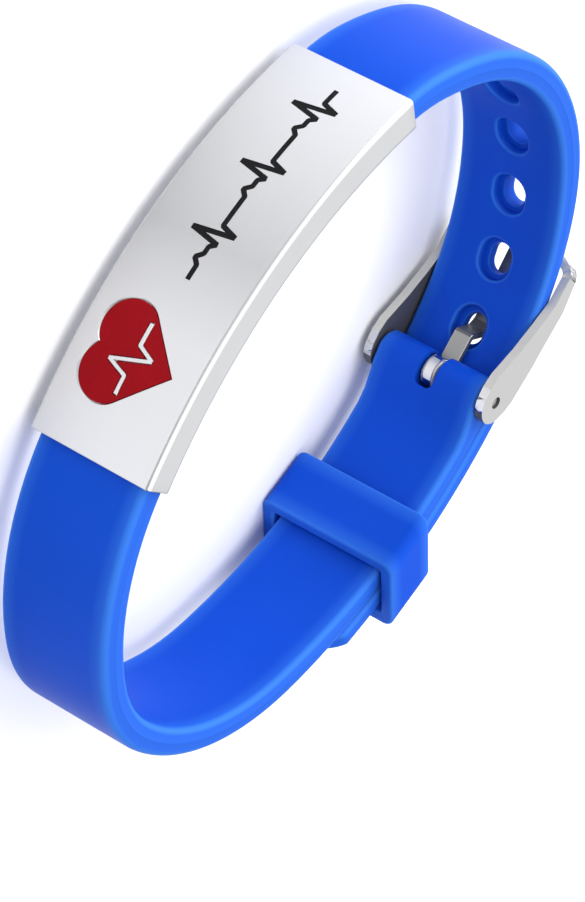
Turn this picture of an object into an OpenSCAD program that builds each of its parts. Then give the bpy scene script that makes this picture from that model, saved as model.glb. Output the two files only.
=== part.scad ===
// Medical alert bracelet: a soft strap through a curved steel plate, closed by a pin buckle.
// The loop lies on its side: its axis is Z, the plate's middle faces -Y, and the emblem is
// towards +X. The origin is below the middle of the loop, level with the lowest point.

/* [Loop] */
// Mean diameter of the loop, which the radius of every bend follows
loop_d = 59; // [57:0.5:62]
// Lean of the strap where the tail comes to lie on the buckle end, in degrees
close_lean = 23.7; // [21:0.1:26]

/* [Strap] */
// Width of the strap
strap_w = 12; // [10:0.1:14]
// Thickness of the strap beside the plate
band_t = 2.85; // [2.6:0.05:3.1]
// Thickness of each of the two layers that lie on each other
lap_t = 2.05; // [1.9:0.05:2.2]
// Gap between the two layers
lap_gap = 0.15; // [0.1:0.01:0.2]
// Radius of the outer long edges
edge_r = 0.7; // [0.4:0.05:0.9]
// Length of the tail behind the wrist, from the pin to the tip
tail_l = 29.5; // [27:0.5:31]
// Radius of the rounded tip
tip_r = 7; // [6.5:0.1:9]

/* [Buckle end of the strap] */
// Distance along the strap from the pin to where the tail comes down on the lap
lead_l = 7.2; // [6.6:0.1:7.8]
// Radius of the thick rounded end round the pin
fold_r = 1.85; // [1.6:0.05:2]
// Length over which the strap thickens towards that end
ramp_l = 6; // [4:0.5:8]

/* [Holes] */
// Number of holes in the tail
hole_n = 7; // [5:1:7]
// Distance from one hole to the next
hole_pitch = 7.1; // [6.8:0.1:7.2]
// Length of a hole along the strap
hole_l = 3; // [2.8:0.1:3.4]
// Width of a hole
hole_w = 2.3; // [2.2:0.1:2.6]
// Width of the ledge round a hole on the wrist side
ledge_w = 0.65; // [0.4:0.05:0.7]
// Depth of that ledge below the wrist side
ledge_d = 1; // [0.7:0.05:1.2]

/* [Identity plate] */
// Length of the plate along the strap
plate_l = 40; // [38:0.5:42]
// Radius of its curve, at the middle of the strap
plate_r = 52.8; // [50:0.2:56]
// Depth of the sleeve, front to back
plate_t = 3.45; // [3.3:0.05:3.6]
// Wall of the sleeve
plate_wall = 0.6; // [0.5:0.05:0.65]
// Height of its front above the strap
plate_proud = 0.7; // [0.7:0.05:0.8]
// Gap between the plate's mouth and the strap's shoulder
shoulder_gap = 0.15; // [0.1:0.05:0.3]
// Rounding of the plate's long edges
plate_edge_r = 0.35; // [0.2:0.05:0.5]

/* [Emblem and engraving] */
// Side of the square that the heart is drawn from
heart_side = 5.6; // [5:0.1:6]
// Distance of the heart's middle from the middle of the plate
heart_at = 11.1; // [10.8:0.1:12]
// Depth of the enamel
enamel_d = 0.3; // [0.2:0.05:0.35]
// Width of the steel line across the enamel
steel_line_w = 0.45; // [0.35:0.05:0.6]
// Length of the engraved line
engraving_l = 21.5; // [19:0.5:23]
// Height of its beats, from the lowest point to the highest
engraving_h = 4.2; // [3:0.1:5]
// Distance of its middle from the middle of the plate
engraving_at = 7; // [6.8:0.1:7.4]
// Width of the engraved line
engraving_w = 0.5; // [0.4:0.05:0.6]
// Depth of the engraved line
engraving_d = 0.2; // [0.15:0.05:0.3]

/* [Keeper] */
// Length of the keeper along the strap
keeper_l = 6.1; // [5:0.1:7]
// Wall of the keeper inside and outside the strap
keeper_wall = 1.1; // [1:0.05:1.3]
// Wall of the keeper beside the strap
keeper_side = 1.4; // [1.2:0.05:1.5]
// Slack between the keeper and the strap's wrist side
keeper_slack = 0.5; // [0.4:0.05:0.8]
// How far the keeper's outer side is dragged towards the tip
keeper_drag = 3; // [2:0.1:4]
// Distance of the keeper from the pin along the strap
keeper_at = 18; // [17:0.1:19.5]
// Rounding of the keeper's long edges
keeper_r = 1.1; // [0.6:0.1:1.2]

/* [Buckle] */
// Thickness of the frame's sheet steel
sheet_t = 0.85; // [0.7:0.05:1]
// Distance from the pin to the middle of the front bar
frame_l = 15.9; // [15.4:0.1:16.4]
// How far the arms rise above the pin
frame_rise = 3.05; // [2.9:0.05:3.3]
// Height of the front bar
bar_h = 1.4; // [1.2:0.1:1.6]
// Radius of the frame's corners
corner_r = 1.2; // [1:0.1:1.6]
// Radius of the front bar's bow
bow_r = 11; // [10:0.5:14]
// Radius of the ears round the pin
ear_r = 2.15; // [2:0.05:2.3]
// Diameter of the pin
pin_d = 1.3; // [1.1:0.05:1.4]
// Diameter of the pin's tips in the ears
pin_tip_d = 1; // [0.8:0.05:1.05]
// Depth of the pin's tips below the outside of the ears
tip_sunk = 0.25; // [0.1:0.05:0.4]
// Width of the tongue
tongue_w = 1.9; // [1.6:0.05:2]
// Thickness of the tongue
tongue_t = 0.6; // [0.5:0.05:0.65]
// Distance from the pin to the hole that the tongue goes through
tongue_reach = 5.1; // [4.9:0.05:5.3]
// Length of the tongue past the front bar
tongue_past = 0.8; // [0.5:0.1:1.5]
// Outer radius of the tongue's roll on the pin
roll_r = 1.6; // [1.5:0.05:1.65]

/* [Clearances] */
// Gap between the strap and the plate's walls
plate_fit = 0.05; // [0.04:0.01:0.08]
// Gap between the strap's sides and what goes round it
side_gap = 0.15; // [0.1:0.05:0.3]
// Gap between the keeper and the strap's sides
keeper_gap = 0.35; // [0.3:0.05:0.5]
// Gap round the pin and round the roll
pin_gap = 0.1; // [0.05:0.01:0.15]
// Gap round each inlay
inlay_gap = 0.03; // [0.02:0.01:0.05]

/* [Hidden] */
$fn = 64;

// Bends of the strap's middle line after the plate. Each turn is a share of all that is left
// to turn on that side, and each radius a share of the loop's mean diameter.
TURN = 0;
RADIUS = 1;
BUCKLE_BENDS = [[0.25, 0.449], [0.18, 0.251], [0.305, 0.38], [0.265, 0.825]];
TAIL_BENDS = [[0.129, 0.28], [0.078, 0.564], [0.527, 0.346], [0.266, 0.446]];
LAST = 3;
// Share of a side's turn at which the strap starts to thin, and at which it is a lap's thickness
BUCKLE_THIN = [0.73, 0.88];
TAIL_THIN = [0.73, 1];
// Turn between two cross-sections of the strap, in degrees. It is half of that inside the plate.
STEP = 5;

function out_dir(h) = [sin(h), -cos(h)];
function along_dir(h) = [cos(h), sin(h)];
function unit(v) = v / norm(v);
function to_deg(arc, r) = arc / r * 180 / PI;
function share_before(bends, k) = k == 0 ? 0 : bends[k - 1][TURN] + share_before(bends, k - 1);
function ease(x) = let (t = min(1, max(0, x))) t * t * (3 - 2 * t);
// The two factors that add vectors u and v up to w
function factors(u, v, w) = [cross(w, v), cross(u, w)] / cross(u, v);

plate_middle = [0, plate_r];
plate_half = to_deg(plate_l / 2, plate_r);
shoulder = to_deg(plate_l / 2 + shoulder_gap, plate_r);
close_h = 180 + close_lean;

// A side of the loop is a list of headings and a list of radii
function headings(bends, last) =
    [for (k = [0 : len(bends)]) shoulder + share_before(bends, k) * (last - shoulder)];
// Where the middle line has got to before bend k, and the middle of a bend's circle
function joint(h, r, k) = k == 0 ? plate_middle + plate_r * out_dir(shoulder)
    : joint(h, r, k - 1) + r[k - 1] * (out_dir(h[k]) - out_dir(h[k - 1]));
function middles(h, r) = [for (k = [0 : len(r) - 1]) joint(h, r, k) - r[k] * out_dir(h[k])];
function bend_of(h_list, h) = max([for (k = [0 : LAST]) if (k == 0 || h_list[k] <= h) k]);
function thickness(h, last, thin) = let (share = (h - shoulder) / (last - shoulder))
    band_t + (lap_t - band_t) * ease((share - thin[0]) / (thin[1] - thin[0]));

buckle_h = headings(BUCKLE_BENDS, close_h);
buckle_r = [for (b = BUCKLE_BENDS) b[RADIUS] * loop_d];
buckle_mid = middles(buckle_h, buckle_r);
function buckle_t(h) = thickness(h, close_h, BUCKLE_THIN);
function buckle_at(h) = let (k = bend_of(buckle_h, h)) buckle_mid[k] + buckle_r[k] * out_dir(h);
function on_back(h) = buckle_at(h) + buckle_t(h) / 2 * out_dir(h);

// The tail's last two radii are found from the place where it must come down on the lap
tail_h = headings(TAIL_BENDS, 360 - close_h);
lap_point = on_back(close_h) + (lap_gap + lap_t / 2) * out_dir(close_h);
tail_free = [for (b = TAIL_BENDS) b[RADIUS] * loop_d];
tail_found = factors(out_dir(tail_h[LAST]) - out_dir(tail_h[LAST - 1]),
    out_dir(tail_h[LAST + 1]) - out_dir(tail_h[LAST]),
    [-lap_point[0], lap_point[1]] - joint(tail_h, tail_free, LAST - 1));
tail_r = [tail_free[0], tail_free[1], tail_found[0], tail_found[1]];
tail_mid = middles(tail_h, tail_r);
function tail_t(h) = thickness(h, 360 - close_h, TAIL_THIN);
function tail_at(h) = let (k = bend_of(tail_h, h), p = tail_mid[k] + tail_r[k] * out_dir(h)) [-p[0], p[1]];

// The buckle end lies in the last bend
lap_r = buckle_r[LAST] + lap_t / 2;
pin_h = close_h - to_deg(lead_l, lap_r);
pin_at = buckle_at(pin_h) + (lap_t / 2 - fold_r) * out_dir(pin_h);
tip_h = pin_h - to_deg(tail_l, lap_r);

// The part of the strap inside the plate: its front runs on and its back is cut away
plate_front = plate_r + band_t / 2 + plate_proud;
plate_back = plate_front - plate_t;
core_back = plate_back + plate_wall + plate_fit;
plate_w = strap_w + 2 * (plate_fit + plate_wall);

// Holes: [place on the wrist side, heading], by the distance from the pin to the hole
TONGUE_HOLE = 2;
function bend_l(k) = tail_r[k] * (tail_h[k + 1] - tail_h[k]) * PI / 180;
function tail_place(k, s) = s > bend_l(k) && k > 0 ? tail_place(k - 1, s - bend_l(k))
    : let (h = tail_h[k + 1] - to_deg(s, tail_r[k])) [tail_at(h) - tail_t(h) / 2 * out_dir(360 - h), 360 - h];
function lap_place(a) = let (h = pin_h + to_deg(a, lap_r)) [on_back(h) + lap_gap * out_dir(h), h];
function hole_place(a) = a < lead_l ? lap_place(a) : tail_place(LAST, a - lead_l);

keeper_h = pin_h - to_deg(keeper_at, lap_r);
keeper_low = -buckle_t(keeper_h) - keeper_slack - keeper_wall;
keeper_high = lap_gap + lap_t + side_gap + keeper_wall;
keeper_half_w = strap_w / 2 + keeper_gap + keeper_side;

// The frame's corner is tangent to its arm and to the bowed front bar, and both run into it by this
FRAME_LAP = 0.05;
arm_z = strap_w / 2 + side_gap + sheet_t / 2;
corner_z = arm_z - corner_r;
bow_mid = frame_l - bow_r;
bow_reach = sqrt((bow_r - corner_r) ^ 2 - corner_z ^ 2);
corner_x = bow_mid + bow_reach;
bow_half = atan2(corner_z, bow_reach);
bow_lap = to_deg(FRAME_LAP, bow_r);
// Rounds of an arm, from the ear to the corner: shares of the distance to the corner, of the
// rise, and of what the ear's radius is more than half the bar's height
ARM = [[0, 0, 1], [0.08, 0.1, 1.24], [0.33, 0.49, 0.82], [0.56, 0.76, 0.47], [0.78, 1, 0.21],
       [1, 0.94, 0], [1.05, 0.92, 0]];
arm_rounds = [for (row = ARM)
    [row[0] * corner_x, row[1] * frame_rise, bar_h / 2 + row[2] * (ear_r - bar_h / 2)]];
AT_CORNER = 5;
bar_n = arm_rounds[AT_CORNER][1];

// Middle line of the tongue, from the roll through the tail's hole to the front bar. The shares
// say where it goes in, comes out and lies on the tail, in lengths of the hole from its middle.
TONGUE_IN = -0.25;
TONGUE_OUT = 0;
TONGUE_ON = 0.3;
tail_under = fold_r + lap_gap;
tail_over = tail_under + lap_t;
function lap_drop(a) = a ^ 2 / (2 * lap_r);
function tongue_at(share, n) = let (a = tongue_reach + share * hole_l) [a, n - lap_drop(a)];
tongue_in = tongue_at(TONGUE_IN, tail_under - tongue_t / 2 + pin_gap / 2);
roll_turn = atan2(tongue_in[1], tongue_in[0]) + acos((roll_r - tongue_t / 2) / norm(tongue_in));
tongue_line = [(roll_r - tongue_t / 2) * along_dir(roll_turn), tongue_in,
    tongue_at(TONGUE_OUT, tail_over - tongue_t / 2), tongue_at(TONGUE_ON, tail_over + tongue_t / 2 + pin_gap),
    [frame_l + tongue_past, bar_n + (bar_h + tongue_t) / 2 + pin_gap]];

// One beat of the engraved line in reading direction, as shares of its own length and of its
// height, and the line across the heart, as shares of the heart's side
BEAT = [[0, -0.1], [0.2, -0.1], [0.28, 0.04], [0.36, -0.1], [0.46, -0.1], [0.52, -0.24], [0.6, 0.5],
        [0.69, -0.5], [0.76, -0.1]];
BEATS = 3;
HEART_BEAT = [[-0.61, 0.05], [-0.29, 0.05], [-0.15, 0.43], [0.08, -0.27], [0.22, 0.05], [0.61, 0.05]];
beats = concat([for (i = [0 : BEATS - 1]) for (b = BEAT) [(i + b[0]) / BEATS, b[1]]], [[1, BEAT[0][1]]]);
engraving_line = [for (b = beats) [engraving_l * (b[0] - 0.5), engraving_h * b[1]]];
heart_line = heart_side * HEART_BEAT;

// Middle of the loop's box, from its outermost points
function widest(h, mids, r) = max([for (k = [0 : LAST]) if (h[k] <= 90 && h[k + 1] >= 90) mids[k][0] + r[k]]);
keeper_outside = on_back(keeper_h) + keeper_high * out_dir(keeper_h);
keeper_top = max([for (end = [-1, 1])
    (keeper_outside + (end * keeper_l - keeper_drag) / 2 * along_dir(keeper_h))[1]]);
box_middle = [(widest(buckle_h, buckle_mid, buckle_r) - widest(tail_h, tail_mid, tail_r)) / 2,
    (keeper_top + plate_r - plate_front) / 2];

// Drawing helpers
module sector(middle, from, to) {
    translate(middle) rotate(from - 90) rotate_extrude(angle = to - from) children();
}

module placed() {
    translate([-box_middle[0], -box_middle[1], keeper_half_w]) children();
}

// Children are drawn with X along the strap, Y along the loop's axis and Z outwards
module on_strap(place, h) {
    translate(place) rotate(h) rotate([90, 0, 0]) children();
}

// Children are drawn with X along the strap from the pin and Y outwards
module from_pin() {
    translate(pin_at) rotate(pin_h) mirror([0, 1, 0]) children();
}

module box_2d(x0, x1, half, r) {
    translate([x0 + r, -half]) square([x1 - x0 - 2 * r, 2 * half]);
    translate([x0, r - half]) square([x1 - x0, 2 * (half - r)]);
    for (x = [x0 + r, x1 - r]) for (side = [-1, 1]) translate([x, side * (half - r)]) circle(r);
}

module slot_2d(l, w) {
    square([l - w, w], center = true);
    for (side = [-1, 1]) translate([side * (l - w) / 2, 0]) circle(w / 2);
}

// Outline of a chain of rounds [x, y, radius]. Its sides are the rounds' outer tangents. They are
// cut off where they bend outwards, and meet in a point where they bend inwards.
function middle_of(one) = [one[0], one[1]];
function side_of(rounds, k, side) = let (a = rounds[k], b = rounds[k + 1], d = middle_of(b) - middle_of(a))
    along_dir(atan2(d[1], d[0]) + side * acos((a[2] - b[2]) / norm(d)));
function bank(rounds, side) = let (n = len(rounds) - 1) concat(
    [middle_of(rounds[0]) + rounds[0][2] * side_of(rounds, 0, side)],
    [for (k = [1 : n - 1]) let (a = side_of(rounds, k - 1, side), b = side_of(rounds, k, side))
        for (p = side * cross(a, b) > 0 ? [(a + b) / (1 + a * b)] : [a, b])
            middle_of(rounds[k]) + rounds[k][2] * p],
    [middle_of(rounds[n]) + rounds[n][2] * side_of(rounds, n - 1, side)]);
function backwards(list) = [for (k = [len(list) - 1 : -1 : 0]) list[k]];
function past_first(list) = [for (k = [1 : len(list) - 1]) list[k]];
function arc(r, from, to) = let (n = ceil(abs(to - from) / STEP))
    [for (i = [0 : n]) r * along_dir(from + (to - from) * i / n)];
function strip(line, w) = [for (p = line) [p[0], p[1], w / 2]];
// The same line with ends that go further by grow
function grown(line, grow) = let (n = len(line) - 1) [for (k = [0 : n]) line[k]
    + grow * (k == 0 ? unit(line[0] - line[1]) : k == n ? unit(line[n] - line[n - 1]) : [0, 0])];

// A line of even width, wider all round by grow
module stroke_2d(line, w, grow) {
    rounds = strip(grown(line, grow), w + 2 * grow);
    polygon(concat(bank(rounds, 1), backwards(bank(rounds, -1))));
}

// Strap
// A cross-section is [place of the middle line, heading, depth to the wrist side, depth to the
// outside, half width]. The strap is one sweep from the buckle end to the tip of the tail.
half_w = strap_w / 2;
// The inner long edges are rounded less, and a rounding takes no more than this share of a side
INNER_SHARE = 0.85;
MOST_SHARE = 0.45;
inner_r = INNER_SHARE * edge_r;
function turns(from, to, step = STEP) = let (n = ceil(abs(to - from) / step))
    [for (i = [0 : n - 1]) from + (to - from) * i / n];

// Round end: cross-sections of a cylinder round the pin, then the thick part that runs into it
FOLD_TURNS = [84, 68, 52, 36, 18, 0];
function fold_row(turn) = let (a = fold_r * sin(turn), d = fold_r * cos(turn))
    [pin_at + a * along_dir(pin_h), pin_h, d, d, half_w - edge_r * (1 - cos(turn)) / 2];
function ramp_row(h) = let (t = buckle_t(h), away = (pin_h - h) / to_deg(ramp_l, lap_r))
    [buckle_at(h), h, t / 2 + (2 * fold_r - t) * (1 - ease(away)), t / 2, half_w];
ramp_end = pin_h - to_deg(ramp_l, lap_r);
RAMP_ROWS = 6;

// Tip: the half width follows the round end, and the last part loses this share of its thickness
TIP_THIN = 0.3;
TIP_SHARES = [1, 0.8, 0.62, 0.46, 0.32, 0.2, 0.11, 0.04, 0.005];
tip_deep = tip_r - sqrt(max(0, tip_r ^ 2 - half_w ^ 2));
function tip_row(share) = let (a = share * tip_deep, h = tip_h + to_deg(a, lap_r), thin = 1 - ease(share))
    [on_back(h) + (lap_gap + lap_t / 2) * out_dir(h), h, lap_t / 2, lap_t * (0.5 - TIP_THIN * thin),
    min(half_w, sqrt(tip_r ^ 2 - (tip_r - a) ^ 2))];
function lap_row(h) = [on_back(h) + (lap_gap + lap_t / 2) * out_dir(h), h, lap_t / 2, lap_t / 2, half_w];
tip_start = tip_h + to_deg(tip_deep, lap_r);

function buckle_row(h) = let (t = buckle_t(h)) [buckle_at(h), h, t / 2, t / 2, half_w];
function tail_row(h) = let (t = tail_t(h)) [tail_at(h), 360 - h, t / 2, t / 2, half_w];
function core_row(h) = [plate_middle + plate_r * out_dir(h), h, plate_r - core_back, band_t / 2, half_w];
// Two sides of a bend list, without the shared ends
function side_turns(h) = [for (k = [0 : LAST]) for (x = turns(h[k], h[k + 1])) x];

// The strap's shoulders at the plate slope by this turn
SHOULDER_TURN = 0.1;
rows = concat(
    [for (turn = FOLD_TURNS) fold_row(turn)],
    [for (i = [1 : RAMP_ROWS]) ramp_row(pin_h + (ramp_end - pin_h) * i / RAMP_ROWS)],
    [for (h = turns(ramp_end, buckle_h[LAST])) if (h < ramp_end) buckle_row(h)],
    [for (k = [LAST - 1 : -1 : 0]) for (h = turns(buckle_h[k + 1], buckle_h[k])) buckle_row(h)],
    [buckle_row(shoulder)],
    [for (h = turns(shoulder - SHOULDER_TURN, SHOULDER_TURN - shoulder, STEP / 2)) core_row(h)],
    [core_row(SHOULDER_TURN - shoulder)],
    [for (h = side_turns(tail_h)) tail_row(h)],
    [for (h = turns(close_h, tip_start)) lap_row(h)],
    [for (share = TIP_SHARES) tip_row(share)]);
CORNER = [0, 30, 60, 90];
function corner(x, y, r, first) = [for (c = CORNER) [x, y] + r * along_dir(first + c)];
// Outline of a cross-section, with X to the outside and Y along the loop's axis
function section(row) = let (low = row[2], high = row[3], half = row[4],
    r = min(edge_r, MOST_SHARE * (low + high), MOST_SHARE * half), q = min(inner_r, r))
    concat(corner(high - r, half - r, r, 0), corner(q - low, half - q, q, 90),
        corner(q - low, q - half, q, 180), corner(high - r, r - half, r, 270));
function in_space(row, p) = let (q = row[0] + p[0] * out_dir(row[1])) [q[0], q[1], p[1]];

module sweep(list) {
    n = 4 * len(CORNER);
    m = len(list);
    polyhedron(points = [for (row = list) for (p = section(row)) in_space(row, p)],
        faces = concat([[for (j = [0 : n - 1]) j], [for (j = [n - 1 : -1 : 0]) (m - 1) * n + j]],
            [for (i = [0 : m - 2]) for (j = [0 : n - 1]) let (k = (j + 1) % n)
                [i * n + j, (i + 1) * n + j, (i + 1) * n + k, i * n + k]]));
}

module holes() {
    for (i = [0 : hole_n - 1]) {
        place = hole_place(tongue_reach + (i - TONGUE_HOLE) * hole_pitch);
        on_strap(place[0], place[1]) {
            translate([0, 0, -lap_gap / 2]) linear_extrude(2 * band_t) slot_2d(hole_l, hole_w);
            translate([0, 0, -lap_gap / 2]) linear_extrude(ledge_d + lap_gap / 2)
                slot_2d(hole_l + 2 * ledge_w, hole_w + 2 * ledge_w);
        }
    }
}

module strap() {
    slot_half = tongue_w / 2 + pin_gap;
    color("royalblue") placed() difference() {
        sweep(rows);
        holes();
        translate(pin_at) cylinder(r = pin_d / 2 + pin_gap, h = 2 * strap_w, center = true);
        on_strap(pin_at, pin_h) translate([0, 0, -2 * fold_r]) linear_extrude(3 * fold_r + lap_gap / 2)
            box_2d(-roll_r - pin_gap, 2 * fold_r, slot_half, slot_half / 4);
    }
}

// Plate, emblem and engraving
module on_plate(arc) {
    h = to_deg(arc, plate_r);
    on_strap(plate_middle + plate_front * out_dir(h), h) rotate(180) children();
}

module heart_2d(side) {
    rotate(45) square(side, center = true);
    for (lobe = [-1, 1]) translate(side * sqrt(2) / 4 * [lobe, 1]) circle(side / 2);
}

// What lies between two depths below the plate's front
module front_skin(top, bottom) {
    translate(plate_middle) difference() {
        cylinder(r = plate_front - top, h = plate_w, center = true);
        cylinder(r = plate_front - bottom, h = 2 * plate_w, center = true);
    }
}

module heart_fill(gap, top, bottom) {
    intersection() {
        on_plate(heart_at) linear_extrude(2 * plate_t, center = true) difference() {
            heart_2d(heart_side - 2 * gap);
            stroke_2d(heart_line, steel_line_w, gap);
        }
        front_skin(top, bottom);
    }
}

module line_fill(gap, top, bottom) {
    intersection() {
        on_plate(-engraving_at) linear_extrude(2 * plate_t, center = true)
            stroke_2d(engraving_line, engraving_w, -gap);
        front_skin(top, bottom);
    }
}

module id_plate() {
    color("silver") placed() difference() {
        sector(plate_middle, -plate_half, plate_half) difference() {
            box_2d(plate_back, plate_front, plate_w / 2, plate_edge_r);
            translate([plate_back + plate_wall, plate_wall - plate_w / 2])
                square([plate_t - 2 * plate_wall, plate_w - 2 * plate_wall]);
        }
        heart_fill(0, -plate_wall, enamel_d);
        line_fill(0, -plate_wall, engraving_d);
    }
}

module emblem_enamel() {
    color("firebrick") placed() heart_fill(inlay_gap, inlay_gap, enamel_d - inlay_gap);
}

module engraving_fill() {
    color("black") placed() line_fill(inlay_gap, inlay_gap, engraving_d - inlay_gap);
}

// Keeper
module keeper() {
    slant = keeper_drag / 2;
    half = keeper_l / 2;
    color("royalblue") placed() on_strap(on_back(keeper_h), keeper_h) intersection() {
        rotate([0, 90, 0]) linear_extrude(4 * keeper_l, center = true) difference() {
            box_2d(-keeper_high, -keeper_low, keeper_half_w, keeper_r);
            translate([keeper_wall - keeper_high, keeper_side - keeper_half_w])
                square([keeper_high - keeper_low - 2 * keeper_wall, 2 * (keeper_half_w - keeper_side)]);
        }
        rotate([90, 0, 0]) linear_extrude(4 * keeper_half_w, center = true)
            polygon([[slant - half, keeper_low], [slant + half, keeper_low],
                [half - slant, keeper_high], [-half - slant, keeper_high]]);
    }
}

// Buckle
module arm_2d() {
    top = side_of(arm_rounds, 0, 1);
    low = side_of(arm_rounds, 0, -1);
    intersection() {
        polygon(concat(arc(ear_r, atan2(top[1], top[0]), atan2(low[1], low[0]) + 360),
            past_first(bank(arm_rounds, -1)), backwards(past_first(bank(arm_rounds, 1)))));
        translate([-2 * ear_r, -2 * ear_r]) square([corner_x + FRAME_LAP + 2 * ear_r, 6 * ear_r]);
    }
}

module buckle_frame() {
    color("gainsboro") placed() {
        from_pin() for (side = [-1, 1]) translate([0, 0, side * arm_z]) difference() {
            linear_extrude(sheet_t, center = true) arm_2d();
            cylinder(d = pin_tip_d + 2 * pin_gap, h = 2 * sheet_t, center = true);
        }
        on_strap(pin_at, pin_h) {
            translate([bow_mid, 0]) rotate(-bow_half - bow_lap)
                rotate_extrude(angle = 2 * (bow_half + bow_lap))
                    translate([bow_r - sheet_t / 2, bar_n - bar_h / 2]) square([sheet_t, bar_h]);
            for (side = [0, 1]) mirror([0, side, 0]) translate([corner_x, corner_z]) rotate(bow_half)
                rotate_extrude(angle = 90 - bow_half)
                    translate([corner_r - sheet_t / 2, bar_n - bar_h / 2]) square([sheet_t, bar_h]);
        }
    }
}

module buckle_pin() {
    color("silver") placed() translate(pin_at) {
        cylinder(d = pin_d, h = strap_w + side_gap, center = true);
        cylinder(d = pin_tip_d, h = 2 * (arm_z + sheet_t / 2 - tip_sunk), center = true);
    }
}

// The strip leaves the roll at roll_turn, and its underside meets the roll after meet_turn
module buckle_tongue() {
    meet_turn = acos((roll_r - tongue_t) / roll_r);
    rounds = strip(tongue_line, tongue_t);
    color("gainsboro") placed() from_pin() difference() {
        linear_extrude(tongue_w, center = true)
            polygon(concat(arc(roll_r, roll_turn, roll_turn + 360 - meet_turn),
                past_first(bank(rounds, -1)), backwards(past_first(bank(rounds, 1)))));
        cylinder(r = pin_d / 2 + pin_gap, h = 2 * tongue_w, center = true);
    }
}

strap();
id_plate();
emblem_enamel();
engraving_fill();
keeper();
buckle_frame();
buckle_pin();
buckle_tongue();
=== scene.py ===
# %% [markdown]
# # A medical alert bracelet
# A soft blue strap runs through a curved steel plate and is closed by a pin buckle and a keeper.
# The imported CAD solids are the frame: they give every size and place. This script dresses them.
# Soft pieces are rebuilt as finer meshes of the same form. Rigid pieces are copies of their solids
# with softened edges. Then every finish is made from shader nodes.

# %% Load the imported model
import math

import bmesh
import bpy
import numpy as np
from mathutils import Matrix, Vector


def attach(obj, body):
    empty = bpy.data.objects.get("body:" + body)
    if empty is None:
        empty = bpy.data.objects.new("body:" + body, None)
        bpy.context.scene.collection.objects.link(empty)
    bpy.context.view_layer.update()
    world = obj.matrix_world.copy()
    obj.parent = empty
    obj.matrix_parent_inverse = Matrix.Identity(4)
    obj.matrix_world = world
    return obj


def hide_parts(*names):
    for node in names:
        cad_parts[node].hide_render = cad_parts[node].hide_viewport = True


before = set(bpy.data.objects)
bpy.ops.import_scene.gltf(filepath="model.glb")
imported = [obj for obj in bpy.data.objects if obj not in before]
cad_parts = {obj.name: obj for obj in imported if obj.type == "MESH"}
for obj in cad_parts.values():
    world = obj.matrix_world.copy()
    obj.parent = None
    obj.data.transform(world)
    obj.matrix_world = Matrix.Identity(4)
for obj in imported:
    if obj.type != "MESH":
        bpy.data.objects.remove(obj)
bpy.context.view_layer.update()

MM = 0.001
print("nodes:", ", ".join(sorted(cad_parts)))


# %% Put something into the scene
def linked_object(name, data):
    thing = bpy.data.objects.new(name, data)
    bpy.context.scene.collection.objects.link(thing)
    return thing


# %% [markdown]
# ## Camera
# The photograph was taken with a long lens from about 40 cm away, from above the plate, with the
# camera turned on its side. A camera could be placed by eye, but here its place and its three
# directions were fitted to the strap's and the plate's edges, so the picture can be laid over the
# photograph. Blender's camera looks along its own -Z with +Y up, so the matrix takes right, up
# and backwards as its columns.

# %% Camera
CAMERA_AT = Vector((75.83, -343.04, 201.64)) * MM
RIGHT = Vector((-0.5494, 0.3175, 0.7729))
DOWN = Vector((0.8168, 0.3990, 0.4167))
FORWARD = Vector((-0.1761, 0.8602, -0.4786))
SENSOR = 36.0
FOCAL_PX, LONG_SIDE_PX = 4506.2, 902  # fitted focal length and the photograph's long side
NEAREST = 0.01

optics = bpy.data.cameras.new("camera")
optics.sensor_width = SENSOR
optics.lens = SENSOR * FOCAL_PX / LONG_SIDE_PX
optics.clip_start = NEAREST
camera = linked_object("camera", optics)
turned = Matrix((RIGHT.normalized(), (-DOWN).normalized(), (-FORWARD).normalized())).transposed()
camera.matrix_world = Matrix.Translation(CAMERA_AT) @ turned.to_4x4()
bpy.context.scene.camera = camera
print("lens:", round(optics.lens, 1), "mm, height above the floor:", round(camera.location.z / MM), "mm")

# %% [markdown]
# ## Floor and light
# The bracelet lies on its side on a plain white sweep. Soft light comes from one large panel
# overhead and a smaller one at the side. Polished steel shows only what it reflects, so the
# surroundings are pale above and dark towards the horizon, as in a studio tent. The pale part
# comes lower in front of the plate, like a white card, and on the side of the smaller panel.

# %% Floor
FLOOR_HALF = 3.0
floor_mesh = bpy.data.meshes.new("floor")
corners = [(x * FLOOR_HALF, y * FLOOR_HALF, 0) for x, y in ((-1, -1), (1, -1), (1, 1), (-1, 1))]
floor_mesh.from_pydata(corners, [], [(0, 1, 2, 3)])
floor = linked_object("floor", floor_mesh)
print("floor:", 2 * FLOOR_HALF, "m wide")

# %% Lights
# Each panel has a name, a place and a width in metres, and a power in watts.
PANELS = [("overhead", (0.0, 0.0, 0.75), 1.3, 4.6), ("side", (-0.7, -0.2, 0.4), 0.7, 4.8)]
AIM = Vector((0, 0, 0))
for name, place, width, power in PANELS:
    panel = bpy.data.lights.new(name, "AREA")
    panel.size = width
    panel.energy = power
    light = linked_object(name, panel)
    light.location = place
    light.rotation_euler = (AIM - Vector(place)).to_track_quat("-Z", "Y").to_euler()
    print("panel", name, width, "m wide,", power, "W")


# %% Surroundings
def feed(tree, node, **values):
    """Gives a node's inputs their values: a socket is linked, anything else is set."""
    for label, value in values.items():
        give(tree, node.inputs[label.replace("_", " ")], value)


def give(tree, socket, value):
    if isinstance(value, bpy.types.NodeSocket):
        tree.links.new(value, socket)
    else:
        socket.default_value = value


def new_node(tree, kind, **values):
    node = tree.nodes.new("ShaderNode" + kind)
    feed(tree, node, **values)
    return node


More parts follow.
